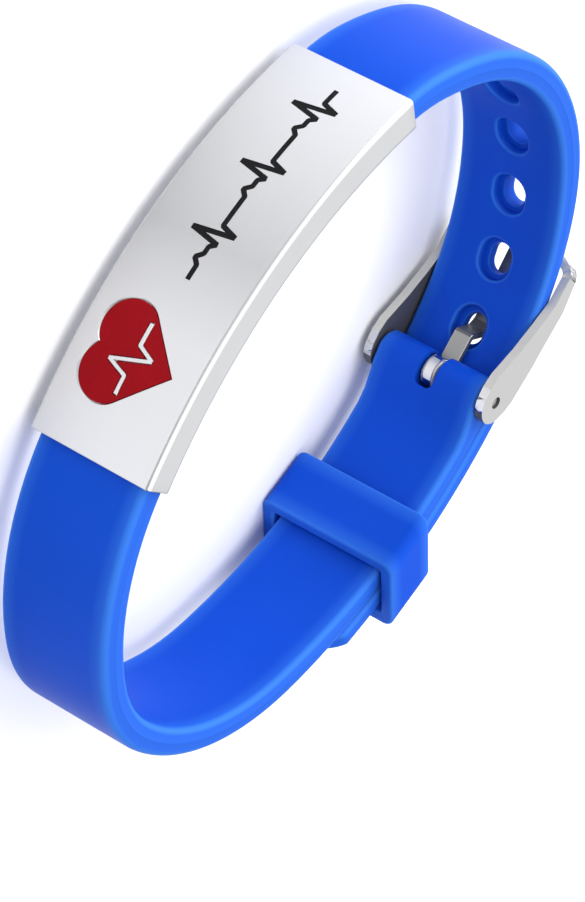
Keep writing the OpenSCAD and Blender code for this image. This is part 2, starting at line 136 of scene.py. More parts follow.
def coloured_ramp(tree, value, *stops):
    """A ramp with stops (position, colour or grey)."""
    ramp = new_node(tree, "ValToRGB", Fac=value)
    elements = ramp.color_ramp.elements
    elements[0].position, elements[1].position = stops[0][0], stops[-1][0]
    for position, _ in stops[1:-1]:
        elements.new(position)
    for element, (_, color) in zip(elements, stops):
        element.color = color if isinstance(color, tuple) else (color, color, color, 1)
    return ramp.outputs["Color"]


def math_node(tree, operation, *values, kind="Math"):
    node = new_node(tree, kind)
    node.operation = operation
    for socket, value in zip(node.inputs, values):
        give(tree, socket, value)
    return node.outputs[0]


FRONT_CARD = 0.2  # how far the pale part comes down in front of the plate
LAMP_SIDE = 0.35  # and how far it comes down on the side of the smaller panel
SKY = [(0.0, 0.12), (0.22, 0.2), (0.42, 0.95), (1.0, 1.0)]  # height and grey
SKY_STRENGTH = 1.12
world = bpy.data.worlds.new("studio")
bpy.context.scene.world = world
world.use_nodes = True
tree = world.node_tree
split = new_node(tree, "SeparateXYZ", Vector=new_node(tree, "TexCoord").outputs["Generated"])
in_front = math_node(tree, "MAXIMUM", math_node(tree, "MULTIPLY", split.outputs["Y"], -FRONT_CARD), 0.0)
to_lamp = math_node(tree, "MULTIPLY_ADD", split.outputs["X"], -LAMP_SIDE, in_front)
lifted = math_node(tree, "ADD", split.outputs["Z"], to_lamp)
feed(tree, tree.nodes["Background"], Color=coloured_ramp(tree, lifted, *SKY), Strength=SKY_STRENGTH)
bpy.context.scene.view_settings.view_transform = "Standard"
print("surroundings:", len(SKY), "stops, strength", SKY_STRENGTH)

# %% [markdown]
# ## Surface effects
# Moulded silicone, satin steel and enamel share a few effects: the colour drifts a little from
# place to place, the surface has a fine grain, and handling leaves soft scuffs. Each effect is a
# node group, built once and placed in every material with its own values. The groups only put
# out colours, masks and heights, so each material keeps its own shader.


# %% Node group helpers
def new_group(name, inputs, outputs):
    group = bpy.data.node_groups.new(name, "ShaderNodeTree")
    for label, kind, value in inputs:
        made = group.interface.new_socket(label, in_out="INPUT", socket_type="NodeSocket" + kind)
        made.default_value = value
    for label, kind in outputs:
        group.interface.new_socket(label, in_out="OUTPUT", socket_type="NodeSocket" + kind)
    print("group", name, "with", len(inputs), "inputs")
    return group, group.nodes.new("NodeGroupInput").outputs, group.nodes.new("NodeGroupOutput")


def noise_at(group, vector, scale, detail=3.0, roughness=0.5):
    noise = new_node(group, "TexNoise", Vector=vector, Scale=scale, Detail=detail, Roughness=roughness)
    return noise.outputs["Fac"]


def object_place(group):
    return new_node(group, "TexCoord").outputs["Object"]


# %% Colour drift
# Scale counts features per metre, so 150 means patches of about 7 mm.
drift, given, out = new_group("colour_drift", [
    ("Color", "Color", (0.5, 0.5, 0.5, 1)), ("Scale", "Float", 150.0), ("Amount", "Float", 0.1)],
    [("Color", "Color")])
patches = noise_at(drift, object_place(drift), given["Scale"])
centred = math_node(drift, "SUBTRACT", patches, 0.5)
gain = math_node(drift, "ADD", math_node(drift, "MULTIPLY", centred, given["Amount"]), 1.0)
feed(drift, out, Color=math_node(drift, "MULTIPLY", given["Color"], gain, kind="VectorMath"))

# %% Grain
# The stretch makes the grain long and thin, as a brushed finish is along the brushing.
grain, given, out = new_group("grain", [
    ("Scale", "Float", 9000.0), ("Stretch", "Vector", (1, 1, 1))], [("Height", "Float")])
stretched = math_node(grain, "MULTIPLY", object_place(grain), given["Stretch"], kind="VectorMath")
feed(grain, out, Height=noise_at(grain, stretched, given["Scale"], detail=4.0, roughness=0.6))

# %% Scuffs
# Thin crossing marks: where a noise passes through its middle value it draws lines, and a second,
# larger noise keeps them to some places.
LARGER = 0.2
scuffs, given, out = new_group("scuffs", [
    ("Scale", "Float", 700.0), ("Width", "Float", 0.03), ("Cover", "Float", 0.5)], [("Mask", "Float")])
where = object_place(scuffs)
from_middle = math_node(scuffs, "SUBTRACT", noise_at(scuffs, where, given["Scale"], detail=1.0), 0.5)
lines = math_node(scuffs, "ABSOLUTE", from_middle)
thin = new_node(scuffs, "MapRange", Value=lines, From_Max=given["Width"], To_Min=1.0, To_Max=0.0)
larger = math_node(scuffs, "MULTIPLY", given["Scale"], LARGER)
some = noise_at(scuffs, where, larger, detail=2.0)
bare = math_node(scuffs, "SUBTRACT", 1.0, given["Cover"])
kept = new_node(scuffs, "MapRange", Value=some, From_Min=bare, From_Max=1.0)
feed(scuffs, out, Mask=math_node(scuffs, "MULTIPLY", thin.outputs[0], kept.outputs[0]))


# %% [markdown]
# ## Finishes
# Each material is a Principled shader. A number that is the same all over is set on the shader's
# own socket. What changes over the surface comes from the groups above.


# %% Material helpers
def new_finish(name, **plain):
    material = bpy.data.materials.new(name)
    material.use_nodes = True
    shader = material.node_tree.nodes["Principled BSDF"]
    feed(material.node_tree, shader, **plain)
    print("finish", name)
    return material, material.node_tree, shader


def placed_group(tree, group, **values):
    node = tree.nodes.new("ShaderNodeGroup")
    node.node_tree = group
    feed(tree, node, **values)
    return node.outputs[0]


def add_bump(tree, shader, height, distance):
    feed(tree, shader, Normal=new_node(tree, "Bump", Distance=distance, Height=height).outputs[0])


def spread(tree, value, low, high):
    """Maps a mask from 0..1 to low..high."""
    return new_node(tree, "MapRange", Value=value, To_Min=low, To_Max=high).outputs[0]


def blended(tree, mask, base, other):
    node = new_node(tree, "Mix")
    node.data_type = "RGBA"
    give(tree, node.inputs["Factor"], mask)
    for label, value in (("A", base), ("B", other)):
        give(tree, [s for s in node.inputs if s.name == label and s.type == "RGBA"][0], value)
    return [s for s in node.outputs if s.type == "RGBA"][0]


# %% [markdown]
# Silicone: a deep blue, with a painted highlight along the rounded edges.
# The meshes carry a value named rim, from 0 on flat faces to 1 on rounded edges, and the material
# mixes a paler blue by it, so that the edges look lit. The mould leaves a very fine matt texture.

# %% Silicone
BLUE = (0.004, 0.064, 0.52, 1)
HIGHLIGHT_BLUE = (0.055, 0.24, 0.76, 1)
HIGHLIGHT_SHARE = 0.6  # how much of the paler blue the roundest edges take
MATT = (0.40, 0.55)
MOULD_DEEP = 0.012 * MM
silicone, tree, shader = new_finish("silicone", IOR=1.43, Specular_IOR_Level=0.06)
# The paler blue mixed in by rim is a painted highlight on the rounded edges.
rim = new_node(tree, "Attribute")
rim.attribute_name = "rim"
body = placed_group(tree, drift, Color=BLUE, Scale=120.0, Amount=0.12)
blue = blended(tree, spread(tree, rim.outputs["Fac"], 0.0, HIGHLIGHT_SHARE), body, HIGHLIGHT_BLUE)
rubbed = placed_group(tree, scuffs, Scale=500.0, Width=0.02, Cover=0.45)
feed(tree, shader, Base_Color=blue, Roughness=spread(tree, rubbed, *MATT))
add_bump(tree, shader, placed_group(tree, grain, Scale=7000.0), MOULD_DEEP)

# %% [markdown]
# Plate: stainless steel with a satin finish, brushed along its length. Brushing is many fine
# parallel lines. They are made from a noise that is stretched along X, and change both the
# roughness and the bump. A painted reflection makes the front darker in its middle and lighter
# towards its ends: a ramp along X scales the colour, and fades out on the faces that look up or down.

# %% Satin steel
STEEL = (0.62, 0.625, 0.64, 1)
PAINTED_SHEEN_HALF = 21 * MM  # the sheen changes over this length on both sides of the middle
PAINTED_SHEEN = [(0.0, 0.95), (0.25, 0.80), (0.47, 0.65), (0.68, 0.86), (1.0, 0.92)]  # place and brightness
BRUSHED = (0.24, 0.40)
BRUSHED_DEEP = 0.004 * MM
satin_steel, tree, shader = new_finish("satin_steel", Metallic=1.0)
brushed = placed_group(tree, grain, Scale=6000.0, Stretch=(0.03, 0.03, 1))
place = new_node(tree, "TexCoord")
along = new_node(tree, "SeparateXYZ", Vector=place.outputs["Object"]).outputs["X"]
facing = new_node(tree, "SeparateXYZ", Vector=place.outputs["Normal"]).outputs["Z"]
# Painted reflection: a brightness ramp along the plate, darker in the middle and lighter at the ends.
from_end = math_node(tree, "MULTIPLY_ADD", along, 0.5 / PAINTED_SHEEN_HALF, 0.5)
level = math_node(tree, "ABSOLUTE", facing)
painted_sheen = blended(tree, level, coloured_ramp(tree, from_end, *PAINTED_SHEEN), (1, 1, 1, 1))
steel = placed_group(tree, drift, Color=STEEL, Scale=60.0, Amount=0.06)
steel = math_node(tree, "MULTIPLY", steel, painted_sheen, kind="VectorMath")
feed(tree, shader, Base_Color=steel, Roughness=spread(tree, brushed, *BRUSHED))
add_bump(tree, shader, brushed, BRUSHED_DEEP)

# %% [markdown]
# Buckle: the same steel, tumbled and polished nearly to a mirror, with faint scuffs. Tumbling
# reaches the stamped edges less, so the edge towards the wrist is a pale satin. The meshes carry a
# value for each face: 0 is polished, 0.5 a pale satin and 1 dark and dull, and the material takes
# its colour, metal and roughness from it. The dark end is a dull finish on the pin's sawn ends, and
# painted shade on the faces that look at the strap, in the holes and on the tongue's sides.

# %% Polished steel
# The third colour, the dark end, is partly a dull finish and partly painted shade.
POLISHED, SATIN, DULL_AND_SHADE_GREY = 0.57, (0.565, 0.555, 0.49, 1), 0.10
SATIN_AT = 0.5  # the dull value of satin
METAL, DULL_METAL = 1.0, 0.2
SCUFFED, DULL_ROUGHER = (0.08, 0.28), 0.3
TUMBLED_DEEP = 0.004 * MM
polished_steel, tree, shader = new_finish("polished_steel")
dull_and_shade = new_node(tree, "Attribute")
dull_and_shade.attribute_name = "dull_and_shade"
dull_and_shade_mask = dull_and_shade.outputs["Fac"]
by_dull_and_shade = coloured_ramp(tree, dull_and_shade_mask, (0.0, POLISHED), (SATIN_AT, SATIN), (1.0, DULL_AND_SHADE_GREY))
steel = placed_group(tree, drift, Color=by_dull_and_shade, Scale=200.0, Amount=0.05)
scuffed = spread(tree, placed_group(tree, scuffs, Scale=1500.0, Width=0.02, Cover=0.55), *SCUFFED)
rough = math_node(tree, "MULTIPLY_ADD", dull_and_shade_mask, DULL_ROUGHER, scuffed)
to_satin = math_node(tree, "MINIMUM", math_node(tree, "MULTIPLY", dull_and_shade_mask, 1 / SATIN_AT), 1.0)
metal = spread(tree, to_satin, METAL, DULL_METAL)
feed(tree, shader, Base_Color=steel, Roughness=rough, Metallic=metal)
add_bump(tree, shader, placed_group(tree, grain, Scale=900.0), TUMBLED_DEEP)

# %% [markdown]
# Inlays: the enamel is a glassy red that sinks a little as it dries, and the engraved line is
# filled with a matt black. Both are softer to the light than steel, so they are kept plain.

# %% Enamel and engraving fill
RED, GLAZED, GLAZE_DEEP = (0.255, 0.002, 0.006, 1), (0.22, 0.38), 0.01 * MM
enamel, tree, shader = new_finish("enamel", Specular_IOR_Level=0.05)
red = placed_group(tree, drift, Color=RED, Scale=400.0, Amount=0.25)
glazed = spread(tree, placed_group(tree, scuffs, Scale=1200.0), *GLAZED)
feed(tree, shader, Base_Color=red, Roughness=glazed)
add_bump(tree, shader, placed_group(tree, grain, Scale=1200.0), GLAZE_DEEP)

BLACK, FILLED, FILL_DEEP = (0.010, 0.010, 0.011, 1), (0.45, 0.65), 0.02 * MM
black_fill, tree, shader = new_finish("black_fill", Specular_IOR_Level=0.05)
black = placed_group(tree, drift, Color=BLACK, Scale=900.0, Amount=0.5)
fill_grain = placed_group(tree, grain, Scale=6000.0)
feed(tree, shader, Base_Color=black, Roughness=spread(tree, fill_grain, *FILLED))
add_bump(tree, shader, fill_grain, FILL_DEEP)

# %% Floor finish
WHITE = (0.93, 0.93, 0.94, 1)
white_sweep, tree, shader = new_finish("white_sweep", Roughness=0.7)
feed(tree, shader, Base_Color=placed_group(tree, drift, Color=WHITE, Scale=4.0, Amount=0.02))
floor.data.materials.append(white_sweep)

# %% [markdown]
# ## The line of the strap
# The solid of the strap follows a middle line of circular bends: four on the buckle side, four on
# the tail side, and the plate's own curve between them. The finer strap has to lie in the same
# place, so the same bends are built here, from the same named sizes. Sizes are in millimetres,
# and the loop's own plane is X and Y. Then everything moves to the row's origin.

# %% Sizes of the strap and the loop
LOOP_D = 59.0
STRAP_W, BAND_T, LAP_T, LAP_GAP = 12.0, 2.85, 2.05, 0.15
TAIL_L, TIP_R = 29.5, 7.0
LEAD_L, FOLD_R, RAMP_L = 7.2, 1.85, 6.0
PLATE_L, PLATE_R, PLATE_T, PLATE_WALL, PLATE_PROUD, PLATE_FIT = 40.0, 52.8, 3.45, 0.6, 0.7, 0.05
SHOULDER_GAP = 0.15
KEEPER_L, KEEPER_WALL, KEEPER_SIDE, KEEPER_SLACK, KEEPER_DRAG, KEEPER_AT = 6.1, 1.1, 1.4, 0.5, 3.0, 18.0
KEEPER_GAP, SIDE_GAP, PIN_GAP = 0.35, 0.15, 0.1
HALF_W = STRAP_W / 2
# Each bend has a share of the turn between plate and buckle, and a radius as a share of LOOP_D.
BUCKLE_BENDS = [(0.25, 0.449), (0.18, 0.251), (0.305, 0.38), (0.265, 0.825)]
TAIL_BENDS = [(0.129, 0.28), (0.078, 0.564), (0.527, 0.346), (0.266, 0.446)]
BUCKLE_THIN, TAIL_THIN = (0.73, 0.88), (0.73, 1.0)  # the shares between which the band gets thinner
CLOSE_LEAN = 23.7
TINY = 1e-9
CLOSE_H = math.radians(180 + CLOSE_LEAN)


def out_dir(h):
    return np.array([math.sin(h), -math.cos(h)])


def along_dir(h):
    return np.array([math.cos(h), math.sin(h)])


def ease(x):
    t = min(1.0, max(0.0, x))
    return t * t * (3 - 2 * t)


# %% Bends
shoulder = (PLATE_L / 2 + SHOULDER_GAP) / PLATE_R
plate_middle = np.array([0.0, PLATE_R])


def headings(bends, last):
    return shoulder + np.cumsum([0.0] + [turn for turn, _ in bends]) * (last - shoulder)


def joints(h, radii):
    """Where the middle line has got to before each bend."""
    places = [plate_middle + PLATE_R * out_dir(shoulder)]
    for k, r in enumerate(radii):
        places.append(places[-1] + r * (out_dir(h[k + 1]) - out_dir(h[k])))
    return places


def thickness(h, last, thin):
    share = (h - shoulder) / (last - shoulder)
    return BAND_T + (LAP_T - BAND_T) * ease((share - thin[0]) / (thin[1] - thin[0]))


buckle_h = headings(BUCKLE_BENDS, CLOSE_H)
buckle_r = [share * LOOP_D for _, share in BUCKLE_BENDS]
buckle_mid = [p - r * out_dir(h) for p, r, h in zip(joints(buckle_h, buckle_r), buckle_r, buckle_h)]


def buckle_at(h):
    k = max(k for k in range(len(buckle_r)) if k == 0 or buckle_h[k] <= h + TINY)
    return buckle_mid[k] + buckle_r[k] * out_dir(h)


def buckle_back(h):
    """The outside of the buckle end, on which the tail lies."""
    return buckle_at(h) + thickness(h, CLOSE_H, BUCKLE_THIN) / 2 * out_dir(h)


# The tail's last two radii follow from where it comes down on the buckle end.
TAIL_LAST = 2 * math.pi - CLOSE_H
tail_h = headings(TAIL_BENDS, TAIL_LAST)
free_r = [share * LOOP_D for _, share in TAIL_BENDS[:2]]
lap_point = buckle_back(CLOSE_H) + (LAP_GAP + LAP_T / 2) * out_dir(CLOSE_H)
steps = np.array([out_dir(tail_h[3]) - out_dir(tail_h[2]), out_dir(tail_h[4]) - out_dir(tail_h[3])]).T
rest = np.array([-lap_point[0], lap_point[1]]) - joints(tail_h, free_r)[2]
tail_r = free_r + list(np.linalg.solve(steps, rest))
tail_mid = [p - r * out_dir(h) for p, r, h in zip(joints(tail_h, tail_r), tail_r, tail_h)]

lap_r = buckle_r[3] + LAP_T / 2
pin_h = CLOSE_H - LEAD_L / lap_r
pin_at = buckle_at(pin_h) + (LAP_T / 2 - FOLD_R) * out_dir(pin_h)
tip_h = pin_h - TAIL_L / lap_r
print("tail radii in mm:", [round(r, 2) for r in tail_r], "pin heading:", round(math.degrees(pin_h), 1))


# %% Place of a point given along, across and out
def widest(h, mids, radii):
    return max(mids[k][0] + radii[k] for k in range(len(radii)) if h[k] <= math.pi / 2 <= h[k + 1])


keeper_h = pin_h - KEEPER_AT / lap_r
keeper_high = LAP_GAP + LAP_T + SIDE_GAP + KEEPER_WALL
keeper_low = -(thickness(keeper_h, CLOSE_H, BUCKLE_THIN) + KEEPER_SLACK + KEEPER_WALL)
keeper_half_w = HALF_W + KEEPER_GAP + KEEPER_SIDE
keeper_outside = buckle_back(keeper_h) + keeper_high * out_dir(keeper_h)
keeper_ends = [keeper_outside + (end * KEEPER_L - KEEPER_DRAG) / 2 * along_dir(keeper_h) for end in (-1, 1)]
keeper_top = max(end[1] for end in keeper_ends)
box_middle = np.array([(widest(buckle_h, buckle_mid, buckle_r) - widest(tail_h, tail_mid, tail_r)) / 2,
                       (keeper_top - BAND_T / 2 - PLATE_PROUD) / 2])


def in_row(place, z):
    """A point of the loop's plane and a height, as a point of the row, in metres."""
    x, y = place - box_middle
    return Vector((x * MM, y * MM, (z + keeper_half_w) * MM))


print("middle of the box in mm:", np.round(box_middle, 3))

# %% [markdown]
# ## Strap
# The real strap is one moulded piece of silicone with softly rounded edges and stepped oval
# holes. A boolean cut would leave hard, uneven edges round the holes, so the mesh is swept as a
# grid, and at each hole a patch of rings takes the place of the grid on both faces: the rings
# follow the hole's own profile, with its ledge and small roundings.

# %% Rows of the strap
EDGE_R, INNER_R = 0.7, 0.6
ROW_STEP = math.radians(2.0)
HOLE_N, TONGUE_HOLE, HOLE_PITCH, TONGUE_REACH = 7, 2, 7.1, 5.1
HOLE_L, HOLE_W, LEDGE_W, LEDGE_D = 3.0, 2.3, 0.65, 1.0
CELL_HALF, CELL_W = 3.25, 3.0  # half length and half width of the patch round a hole
CELL_ROWS, CELL_COLUMNS = 12, 8
FOLD_DEGREES = (88, 82, 74, 64, 54, 44, 33, 22, 11, 0)
TIP_SHARES = (1, 0.9, 0.8, 0.7, 0.6, 0.5, 0.41, 0.33, 0.26, 0.19, 0.13, 0.08, 0.04, 0.015, 0.003)
TIP_THINNER = 0.3  # how much of its thickness the tail loses at its very end
core_low = PLATE_R - (PLATE_R + BAND_T / 2 + PLATE_PROUD - PLATE_T + PLATE_WALL + PLATE_FIT)
tail_arcs = [r * (tail_h[k + 1] - tail_h[k]) for k, r in enumerate(tail_r)]
tip_deep = TIP_R - math.sqrt(TIP_R**2 - HALF_W**2)


def turns(start, end):
    n = max(1, math.ceil(abs(end - start) / ROW_STEP))
    return [start + (end - start) * i / n for i in range(n)]


def lap_row(h, out=LAP_T / 2, half=HALF_W):
    """Row of the tail where it lies on the buckle end."""
    return (buckle_back(h) + (LAP_GAP + LAP_T / 2) * out_dir(h), h, LAP_T / 2, out, half)


def tail_row(a):
    """Row of the tail at distance a from the pin, measured towards the plate."""
    if a < LEAD_L:
        return lap_row(pin_h + a / lap_r)
    s, k = a - LEAD_L, len(tail_arcs) - 1
    while k > 0 and s > tail_arcs[k]:
        s -= tail_arcs[k]
        k -= 1
    h = tail_h[k + 1] - s / tail_r[k]
    p, t = tail_mid[k] + tail_r[k] * out_dir(h), thickness(h, TAIL_LAST, TAIL_THIN)
    return (np.array([-p[0], p[1]]), 2 * math.pi - h, t / 2, t / 2, HALF_W)


def fold_rows():
    for degrees in FOLD_DEGREES:
        turn = math.radians(degrees)
        d = FOLD_R * math.cos(turn)
        place = pin_at + FOLD_R * math.sin(turn) * along_dir(pin_h)
        yield (place, pin_h, d, d, HALF_W - EDGE_R * (1 - math.cos(turn)) / 2)


def tip_rows():
    for share in TIP_SHARES:
        a = share * tip_deep
        half = min(HALF_W, math.sqrt(TIP_R**2 - (TIP_R - a) ** 2))
        yield lap_row(tip_h + a / lap_r, LAP_T * (0.5 - TIP_THINNER * (1 - ease(share))), half)


# %% Put the rows in order
rows = list(fold_rows())
marks = [pin_h, pin_h - RAMP_L / lap_r, *buckle_h[3::-1]]
for h in [h for a, b in zip(marks, marks[1:]) for h in turns(a, b)][1:] + [shoulder]:
    t = thickness(h, CLOSE_H, BUCKLE_THIN)
    deeper = (2 * FOLD_R - t) * (1 - ease((pin_h - h) * lap_r / RAMP_L))
    rows.append((buckle_at(h), h, t / 2 + deeper, t / 2, HALF_W))
SLOPE = math.radians(0.1)
core_turns = turns(shoulder - SLOPE, SLOPE - shoulder) + [SLOPE - shoulder]
rows += [(plate_middle + PLATE_R * out_dir(h), h, core_low, BAND_T / 2, HALF_W) for h in core_turns]

# Rows of the tail lie at even steps, and closer where a hole's patch needs them.
hole_places = [TONGUE_REACH + (i - TONGUE_HOLE) * HOLE_PITCH for i in range(HOLE_N)]
PLAIN_STEP, PATCH_FREE, TIP_FREE = 1.1, 0.15, 0.3
even = np.arange(LEAD_L + sum(tail_arcs), tip_deep - TAIL_L + TIP_FREE, -PLAIN_STEP).round(3)
stations = {a for a in even if all(abs(a - hole) > CELL_HALF + PATCH_FREE for hole in hole_places)}
for hole in hole_places:
    stations |= {round(hole - CELL_HALF + 2 * CELL_HALF * i / CELL_ROWS, 3) for i in range(CELL_ROWS + 1)}
stations = sorted(stations, reverse=True)
first_tail = len(rows)
rows += [tail_row(a) for a in stations] + list(tip_rows())
row_of = {a: first_tail + i for i, a in enumerate(stations)}
print("strap:", len(rows), "rows,", len(stations), "of them on the tail")

# %% [markdown]
# A cross-section is a closed outline of points. Each one knows how much it belongs to a rounded
# edge, which becomes the rim value: the mask of the painted edge highlight. A faint raised line runs
# along both sides, where the two halves of the mould meet, and takes some painted highlight too.

# %% Cross-section of the strap
EDGE_STEPS = 6
MOST_ROUND, MOST_PATCH = 0.45, 0.7  # the most that a rounding and a patch take of what they lie in
# The raised parting line gets a share of painted highlight.
PARTING_H, PARTING_HALF, MOST_PARTING, PARTING_RIM, PARTING_POINTS = 0.035, 0.09, 0.3, 0.4, 3
SIDE_POINTS = 2 * (EDGE_STEPS + 1) + PARTING_POINTS + 1  # two roundings, a raised line, a plain point
WRIST_FIRST = SIDE_POINTS
OUTSIDE_FIRST = WRIST_FIRST + CELL_COLUMNS + 2 + SIDE_POINTS


def quarter(x, y, radius, first, steps):
    """Points (x, y, rim) of a rounding that starts at the angle first; rim is highest in its middle."""
    for i in range(steps + 1):
        turn = math.radians(first + 90 * i / steps)
        rim = math.sin(math.pi * (i + 1) / (steps + 2))
        yield x + radius * math.cos(turn), y + radius * math.sin(turn), rim


def section(low, high, half):
    """Points (out, across, rim) round a cross-section, counted the same way in every row."""
    r = min(EDGE_R, MOST_ROUND * (low + high), MOST_ROUND * half)
    q = min(INNER_R, r)
    band = min(CELL_W, MOST_PATCH * (half - r))

    def parting(sign):
        middle, reach = (high - r + q - low) / 2, min(PARTING_HALF, MOST_PARTING * (low + high - r - q))
        rises = ((reach, 0), (0, PARTING_H * reach / PARTING_HALF), (-reach, 0))
        return [(middle + sign * x, sign * (half + rise), PARTING_RIM) for x, rise in rises]

    def across(x, sign, edge):
        beside = (band + edge) / 2
        over_patch = [band * (1 - 2 * i / CELL_COLUMNS) for i in range(CELL_COLUMNS + 1)]
        return [(x, sign * y, 0.0) for y in (beside, *over_patch, -beside)]

    return [*quarter(high - r, half - r, r, 0, EDGE_STEPS), *parting(1),
            *quarter(q - low, half - q, q, 90, EDGE_STEPS), *across(-low, 1, half - q),
            *quarter(q - low, q - half, q, 180, EDGE_STEPS), *parting(-1),
            *quarter(high - r, r - half, r, 270, EDGE_STEPS), *across(high, -1, half - r)]


print("points in a cross-section:", len(section(BAND_T / 2, BAND_T / 2, HALF_W)))

# %% Profile of a hole
# From the wrist side to the outside: growth over the hole's own outline, depth below a face, rim (painted
# highlight).
FROM_WRIST = [(LEDGE_W + 0.30, 0.0, 0.0), (LEDGE_W + 0.13, 0.03, 0.5), (LEDGE_W + 0.03, 0.12, 0.9),
              (LEDGE_W, 0.28, 0.2), (LEDGE_W - 0.02, LEDGE_D - 0.22, 0.0),
              (LEDGE_W - 0.08, LEDGE_D - 0.06, 0.0), (LEDGE_W - 0.22, LEDGE_D, 0.0),
              (0.18, LEDGE_D, 0.0), (0.05, LEDGE_D + 0.04, 0.6), (0.0, LEDGE_D + 0.18, 0.2)]
FROM_OUTSIDE = [(0.0, 0.25, 0.2), (0.04, 0.07, 0.8), (0.14, 0.015, 0.5), (0.3, 0.0, 0.0)]


def oval_point(s, w, grow):
    """Where the line from the hole's middle towards (s, w) crosses its outline, grown by grow."""
    c, r = (HOLE_L - HOLE_W) / 2, HOLE_W / 2 + grow
    if abs(w) > TINY and abs(s) * r / abs(w) <= c:
        return s * r / abs(w), w * r / abs(w)
    c = math.copysign(c, s)
    t = (s * c + math.sqrt((s * c) ** 2 - (s * s + w * w) * (c * c - r * r))) / (s * s + w * w)
    return t * s, t * w


# %% Sweep the strap
points, rims, faces = [], [], []


def add_point(row, out, across, rim):
    points.append(in_row(row[0] + out * out_dir(row[1]), across))
    rims.append(rim)
    return len(points) - 1


grid = [[add_point(row, *p) for p in section(*row[2:])] for row in rows]
around = len(grid[0])
open_rows = {row_of[round(hole + CELL_HALF, 3)] + i for hole in hole_places for i in range(CELL_ROWS)}
patch = {first + i for first in (WRIST_FIRST, OUTSIDE_FIRST) for i in range(CELL_COLUMNS)}
for i in range(len(rows) - 1):
    for j in range(around):
        if not (i in open_rows and j in patch):
            k = (j + 1) % around
            faces.append((grid[i][j], grid[i + 1][j], grid[i + 1][k], grid[i][k]))
faces += [tuple(grid[0]), tuple(reversed(grid[-1]))]


def cell_border(hole, first_column, backwards):
    """Grid points round a hole's cell, with their places from the hole's middle."""
    top, n, m = row_of[round(hole + CELL_HALF, 3)], CELL_ROWS, CELL_COLUMNS
    order = [(0, j) for j in range(m)] + [(i, m) for i in range(n)]
    order += [(n, m - j) for j in range(m)] + [(n - i, 0) for i in range(n)]
    for i, j in order:
        s, w = CELL_HALF * (1 - 2 * i / n), CELL_W * (1 - 2 * j / m)
        yield grid[top + i][first_column + (m - j if backwards else j)], s, w


for hole in hole_places:
    border = list(cell_border(hole, WRIST_FIRST, False))
    rings = [[index for index, _, _ in border]]
    for face, profile in (("wrist", FROM_WRIST), ("outside", FROM_OUTSIDE)):
        for grow, deep, rim in profile:
            ring = []
            for _, s, w in border:
                along, across = oval_point(s, w, grow)
                row = tail_row(hole + along)
                ring.append(add_point(row, deep - row[2] if face == "wrist" else row[3] - deep, across, rim))
            rings.append(ring)
    rings.append([index for index, _, _ in cell_border(hole, OUTSIDE_FIRST, True)])
    for a, b in zip(rings, rings[1:]):
        for i in range(len(a)):
            k = (i + 1) % len(a)
            faces.append((a[i], a[k], b[k], b[i]))
print("strap mesh:", len(points), "points,", len(faces), "faces")


# %% Turn meshes into pieces
def new_piece(name, mesh, finish, slot, node):
    """An object of the bracelet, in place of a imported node, that moves with the root body."""
    piece = linked_object(name, mesh)
    mesh.materials.clear()
    mesh.materials.append(finish)
    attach(piece, "root")
    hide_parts(node)
    print(name, "has", len(mesh.polygons), "faces")


SOFT_SHARP, METAL_SHARP = 40, 35  # bends in degrees that stay sharp


def smooth_mesh(mesh, sharp=SOFT_SHARP):
    mesh.polygons.foreach_set("use_smooth", [True] * len(mesh.polygons))
    mesh.set_sharp_from_angle(angle=math.radians(sharp))
    mesh.update()


def mesh_from(name, points, faces, rims=None):
    mesh = bpy.data.meshes.new(name)
    mesh.from_pydata([tuple(p) for p in points], [], faces)
    if rims:
        mesh.attributes.new("rim", "FLOAT", "POINT").data.foreach_set("value", rims)
    work = bmesh.new()
    work.from_mesh(mesh)
    bmesh.ops.recalc_face_normals(work, faces=work.faces)
    work.to_mesh(mesh)
    work.free()
    smooth_mesh(mesh)
    return mesh


# %% [markdown]
# The buckle end has a slot for the tongue's roll and a bore for the pin. These two are cut with
# booleans, because only a little of their edges shows. A slot with a round back end is drawn as
# one outline and made into a block; the bore is a cylinder.

# %% Cutters
ROLL_R, TONGUE_W, PIN_D = 1.6, 1.9, 1.3
SLOT_BACK, SLOT_ROUND, SLOT_STEPS, BORE_STEPS = 1.75, 0.7, 8, 32


def from_pin(u, w, n):
    """A point given along the strap from the pin, across it, and outwards."""
    return in_row(pin_at + u * along_dir(pin_h) + n * out_dir(pin_h), w)


def ring_faces(n, rings, closed=False):
    """Faces that join rings of n points each. Unless closed, the first and the last ring get caps."""
    faces = [] if closed else [tuple(range(n)), tuple(reversed(range((rings - 1) * n, rings * n)))]
    for a in range(rings if closed else rings - 1):
        b = (a + 1) % rings
        faces += [(a * n + i, a * n + (i + 1) % n, b * n + (i + 1) % n, b * n + i) for i in range(n)]
    return faces


def block(outline, near, far):
    """Joins an outline at one depth to the same outline at another; near and far place its points."""
    points = [place(*p) for place in (near, far) for p in outline]
    return mesh_from("block", points, ring_faces(len(outline), 2))


def pin_hole(radius, steps):
    """A long cylinder on the pin's line."""
    outline = [radius * along_dir(2 * math.pi * i / steps) for i in range(steps)]
    return block(outline, lambda u, n: from_pin(u, -STRAP_W, n), lambda u, n: from_pin(u, STRAP_W, n))


def applied(mesh, add_modifiers):
    """The mesh as it is after the modifiers that add_modifiers puts on an object of it."""
    body = linked_object("body", mesh)
    add_modifiers(body)
    bpy.context.view_layer.update()
    done = bpy.data.meshes.new_from_object(body.evaluated_get(bpy.context.evaluated_depsgraph_get()))
    bpy.data.objects.remove(body)
    return done


